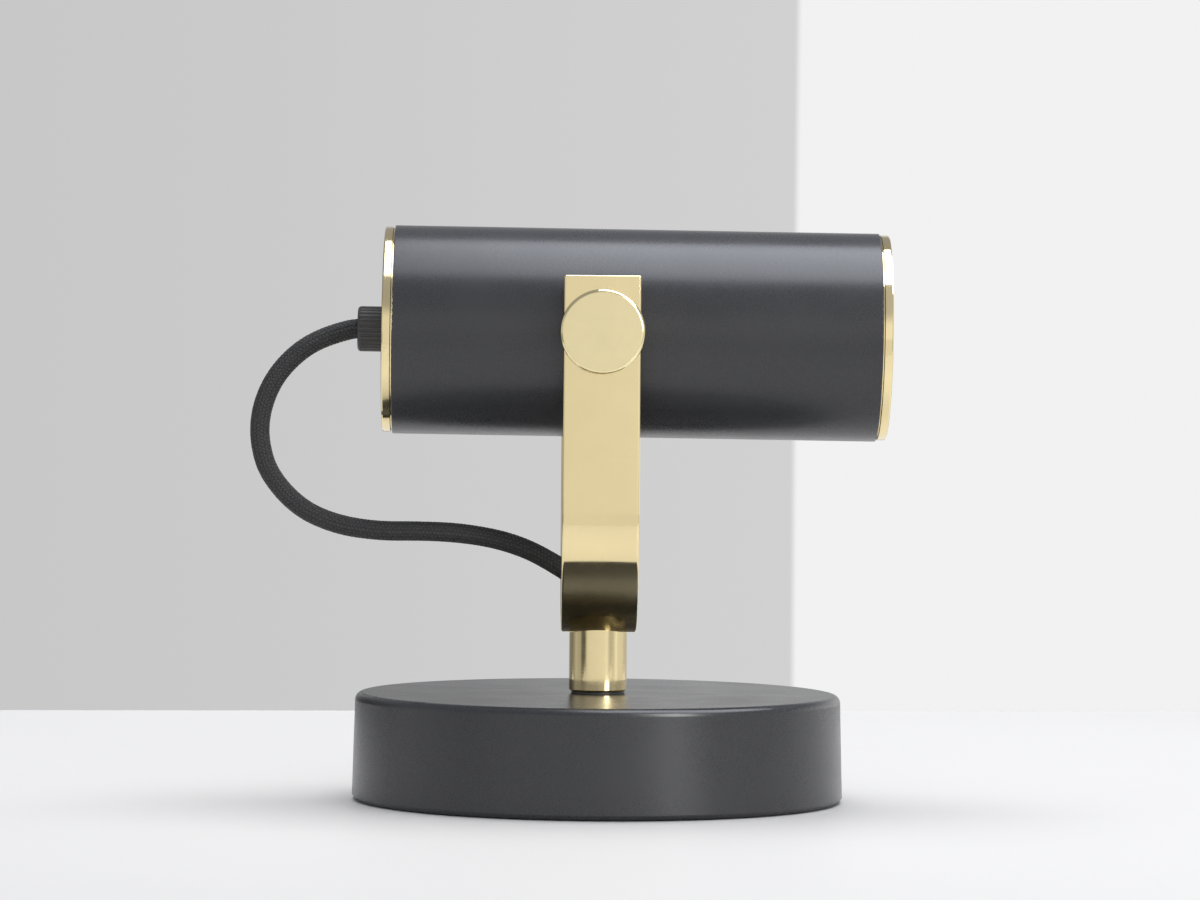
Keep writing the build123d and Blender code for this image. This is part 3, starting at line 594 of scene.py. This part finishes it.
looks = {
    "base_shell": powder_coat("coat_base", COAT, 0.0),
    "shade_tube": powder_coat("coat_tube", COAT, 0.31),
    "yoke_strap": polish("brass_strap", BRASS, "strap", 0.07),
    "post": polish("brass_post", BRASS, "turned_z", 0.05, seed=0.11),
    "knob_front": polish("brass_knob_front", KNOB_BRASS, "turned_y", 0.10, seed=0.21),
    "knob_back": polish("brass_knob_back", KNOB_BRASS, "turned_y", 0.10, seed=0.47),
    "front_ring": polish("brass_front_ring", BRASS, "turned_head", 0.08, seed=0.33),
    "rear_cap": polish("brass_rear_cap", BRASS, "turned_head", 0.09, seed=0.53),
    "yoke_nut": polish("brass_nut", BRASS, "turned_z", 0.12, seed=0.71),
}
TURNED = (0.76, 0.60, 0.32)
for n, way in (("swivel_bush", "z"), ("terminal_tubes", "along_y"), ("lampholder_contacts", "along_x"),
               ("pivot_bosses", "y"), ("clamp_washer_front", "y"), ("clamp_washer_back", "y")):
    looks[n] = turned("turned_" + n, TURNED, way, seed=0.05 * len(looks))
for n in ("standoffs", "base_bolts", "bottom_plate", "stop_pin", "cord_clamp_screws", "terminal_screws", "post_rod", "disc_spring",
          "stop_plate", "swivel_nuts", "pivot_saddles", "holder_plate", "carrier_rods", "carrier_nuts", "lampholder_screws",
          "head_earth_screw", "knob_stud_front", "knob_stud_back", "bulb_pins", "earth_screw_and_lug"):
    looks[n] = zinc("zinc_" + n, seed=0.013 * len(looks))
looks["ballast"] = cast_iron("iron_ballast")
looks["foot_pad"] = foam("pad_foam")
for n in ("outlet_grommet", "gland_grip"):
    looks[n] = moulded("rubber_" + n, (0.022, 0.022, 0.023), 0.62, 1400, 0.00006, seed=0.03 * len(looks))
for n in ("gland_nut", "gland_nipple", "gland_locknut", "cord_bush", "friction_washers", "post_foot_washer", "slip_washer",
          "cord_clamp_lower", "cord_clamp_upper"):
    looks[n] = moulded("nylon_" + n, (0.043, 0.043, 0.045), 0.46, 1900, 0.00003, ior=1.53, seed=0.02 * len(looks))
looks["terminal_block"] = moulded("plastic_terminals", (0.72, 0.71, 0.66), 0.42, 1500, 0.00003)
looks["cord_in_post"] = sleeve_material("sleeve_post")
looks["cord_in_gland"] = sleeve_material("sleeve_gland")
looks["base_wires"] = cores("cores_base", "x")
looks["head_wires"] = cores("cores_head", "y")
looks["lampholder"] = ceramic("ceramic_holder")
looks["bulb_neck"] = ceramic("ceramic_neck", 0.2)


def clear_glass(name, rough=0.02):
    m = Mat(name, (0.96, 0.975, 0.975), rough, ior=1.5, Transmission_Weight=1.0)
    wave = m.noise(m.co, 130, 2, 0.5)
    dust = m.noise(m.co, 900, 4, 0.7)
    tone = m.mix(m.span(dust, 0.5, 0.85, 0.0, 0.4), (0.97, 0.98, 0.98), (0.82, 0.83, 0.82))
    return m.wire(tone, m.span(dust, 0.45, 0.9, rough, rough + 0.10), m.bump(wave, 0.25, 0.0004))


looks["bulb_reflector"] = mirror_glass("mirror_reflector")
looks["bulb_glass"] = clear_glass("glass_face")
looks["bulb_capsule"] = clear_glass("glass_capsule", 0.01)
for n, material in looks.items():
    dress(NODES[n], material)
missing = sorted(set(NODES) - set(looks) - {"linking_cord"})
if missing:
    raise RuntimeError(f"no material for {missing}")
dress(NODES["linking_cord"], sleeve_material("sleeve_free"))


# ------------------------------------------------------------------ table and studio
def table_material():
    color = (0.870, 0.863, 0.855)
    m = Mat("table_white", color, 0.5, ior=1.45)
    cloud = m.noise(m.co, 3.0, 3, 0.5)
    grain = m.noise(m.co, 900, 3, 0.6)
    tone = m.mix(m.span(cloud, 0.3, 0.7), grade(color, 0.985), grade(color, 1.01))
    return m.wire(tone, m.span(grain, 0.3, 0.7, 0.46, 0.54), m.bump(grain, 0.1, 0.00002))


def table_top():
    """A white table top with softened edges; its front edge lies 0.46 m before the lamp and its back edge 0.44 m behind."""
    bm = bmesh.new()
    bmesh.ops.create_grid(bm, x_segments=1, y_segments=1, size=1.0)
    bmesh.ops.solidify(bm, geom=bm.faces[:], thickness=0.03)
    zs = [v.co.z for v in bm.verts]
    top = max(zs)
    for v in bm.verts:
        v.co.x = -0.60 if v.co.x < 0 else 0.60
        back = 0.437 + 0.093 * v.co.x
        v.co.y = -0.46 if v.co.y < 0 else back
        v.co.z = v.co.z - top - 0.00005
    bmesh.ops.bevel(bm, geom=bm.edges[:], offset=0.002, segments=3, affect="EDGES", profile=0.5)
    bmesh.ops.recalc_face_normals(bm, faces=bm.faces[:])
    me = bpy.data.meshes.new("table")
    bm.to_mesh(me)
    bm.free()
    o = bpy.data.objects.new("table", me)
    SCENE.collection.objects.link(o)
    dress(o, table_material())
    return o


table_top()

world = bpy.data.worlds.new("studio")
SCENE.world = world
world.use_nodes = True
wt = world.node_tree
bg = wt.nodes["Background"]


def wmath(op, a, b=0.0, clamp=False):
    n = wt.nodes.new("ShaderNodeMath")
    n.operation, n.use_clamp = op, clamp
    for s, v in zip(n.inputs, (a, b)):
        if isinstance(v, bpy.types.NodeSocket):
            wt.links.new(v, s)
        else:
            s.default_value = v
    return n.outputs[0]


def wspan(v, a, b, c=0.0, d=1.0):
    n = wt.nodes.new("ShaderNodeMapRange")
    n.interpolation_type = "SMOOTHSTEP"
    for s, x in zip(("Value", "From Min", "From Max", "To Min", "To Max"), (v, a, b, c, d)):
        if isinstance(x, bpy.types.NodeSocket):
            wt.links.new(x, n.inputs[s])
        else:
            n.inputs[s].default_value = x
    return n.outputs["Result"]


way = wt.nodes.new("ShaderNodeTexCoord").outputs["Generated"]
sep = wt.nodes.new("ShaderNodeSeparateXYZ")
wt.links.new(way, sep.inputs[0])
dx, dy, dz = sep.outputs

# How bright the room is by compass angle, seen from the lamp: 0 is towards the camera, 90 the camera's right.
# ROOM lies above the horizon, FLOOR_LINE just below it, past the table's edges.
ROOM = [(-180, 0.50), (-167, 0.50), (-156, 0.12), (-150, 0.06), (-128, 0.10), (-114, 0.32), (-102, 0.62), (-78, 0.60), (-66, 0.44),
        (-54, 0.56), (-46, 0.74), (-20, 0.78), (-3, 0.80), (-1, 0.80), (1, 0.80), (3, 0.98), (23, 1.02), (30, 1.00), (37, 0.68), (51, 0.66),
        (59, 0.84), (66, 1.00), (77, 0.76), (98, 0.80), (108, 0.95), (122, 1.10), (156, 1.12), (168, 0.78), (180, 0.72)]
FLOOR_LINE = [(-180, 0.55), (-150, 0.24), (-127, 0.20), (-112, 0.30), (-99, 0.48), (-87, 0.43), (-77, 0.40), (-72, 0.30), (-68, 0.12),
              (-55, 0.10), (-50, 0.38), (-45, 0.68), (-37, 0.76), (0, 0.80), (20, 0.83), (28, 0.86), (33, 0.93), (38, 0.86),
              (45, 0.58), (52, 0.53), (59, 0.55), (66, 0.70), (74, 0.94), (79, 0.95), (86, 0.78), (110, 0.76), (119, 0.66),
              (130, 0.56), (155, 0.56), (180, 0.7)]
turn = wmath("ADD", wmath("DIVIDE", wmath("ARCTAN2", dx, wmath("MULTIPLY", dy, -1.0)), 2 * math.pi), 0.5)


def compass(table):
    ramp = wt.nodes.new("ShaderNodeValToRGB")
    wt.links.new(turn, ramp.inputs["Fac"])
    stops = ramp.color_ramp.elements
    while len(stops) > 1:
        stops.remove(stops[-1])
    for k, (angle, value) in enumerate(table):
        e = stops[0] if k == 0 else stops.new(angle / 360 + 0.5)
        e.position = angle / 360 + 0.5
        e.color = (value, value, value, 1.0)
    return ramp.outputs["Color"]


def wmix(f, a, b):
    return wmath("ADD", wmath("MULTIPLY", a, wmath("SUBTRACT", 1.0, f)), wmath("MULTIPLY", b, f))


around = wmix(wspan(dz, -0.046, -0.032, 1.0, 0.0), compass(ROOM), compass(FLOOR_LINE))
low = wspan(dz, 0.20, 0.48, 1.0, 0.0)
upper = wmix(wspan(dy, -0.2, 0.5), wspan(dx, -0.06, 0.09, 0.38, 0.56), 0.34)
room = [wmix(low, wmath("MULTIPLY", upper, k), around) for k in (0.97, 0.99, 1.06)]
# What stands behind the lamp in the picture: two pale wall panels that meet right of the lamp, plain all round otherwise.
grey = wspan(dx, -0.14, 0.09, 0.572, 0.64)
seam = wspan(dx, 0.0519, 0.0537)
panels = wmath("ADD", wmath("MULTIPLY", grey, wmath("SUBTRACT", 1.0, seam)), wmath("MULTIPLY", seam, 0.885))
behind = wspan(dy, 0.90, 0.96)
plain = wmath("ADD", wmath("MULTIPLY", panels, behind), wmath("MULTIPLY", wmath("SUBTRACT", 1.0, behind), 0.75))
seen = wt.nodes.new("ShaderNodeLightPath").outputs["Is Camera Ray"]
level = wt.nodes.new("ShaderNodeCombineXYZ")
for channel, value in zip(level.inputs, room):
    wt.links.new(wmix(seen, value, plain), channel)
wt.links.new(level.outputs[0], bg.inputs["Color"])
bg.inputs["Strength"].default_value = 1.0


def softbox(name, at, aim, size, radiance, color=(1, 1, 1), gloss=True, soft=True):
    """A rectangular light; gloss says whether surfaces mirror it, soft whether it lights matt surfaces."""
    li = bpy.data.lights.new(name, "AREA")
    li.shape = "RECTANGLE"
    li.size, li.size_y = size
    li.energy = radiance * math.pi * size[0] * size[1]
    li.color = color
    o = bpy.data.objects.new(name, li)
    SCENE.collection.objects.link(o)
    o.location = at
    o.rotation_mode = "QUATERNION"
    o.rotation_quaternion = (Vector(aim) - Vector(at)).to_track_quat("-Z", "Y")
    o.visible_camera = False
    o.visible_glossy = gloss
    o.visible_diffuse = soft
    return o


HEART = (0.0, 0.0, 0.10)
softbox("overhead_sheen", (0.72, -0.04, 1.36), (0.72, -0.039, 0.0), (1.64, 1.24), 4.95, (0.88, 0.92, 1.0), soft=False)
softbox("overhead_soft", (0.12, 0.30, 1.45), (0.02, 0.0, 0.10), (1.3, 0.9), 4.4, gloss=False)
softbox("front_soft", (0.10, -1.50, 1.00), (0.0, -0.2, 0.0), (1.6, 0.8), 1.1, gloss=False)
softbox("right_front", (0.94, -1.29, 0.76), HEART, (0.5, 1.1), 11.5, soft=False)
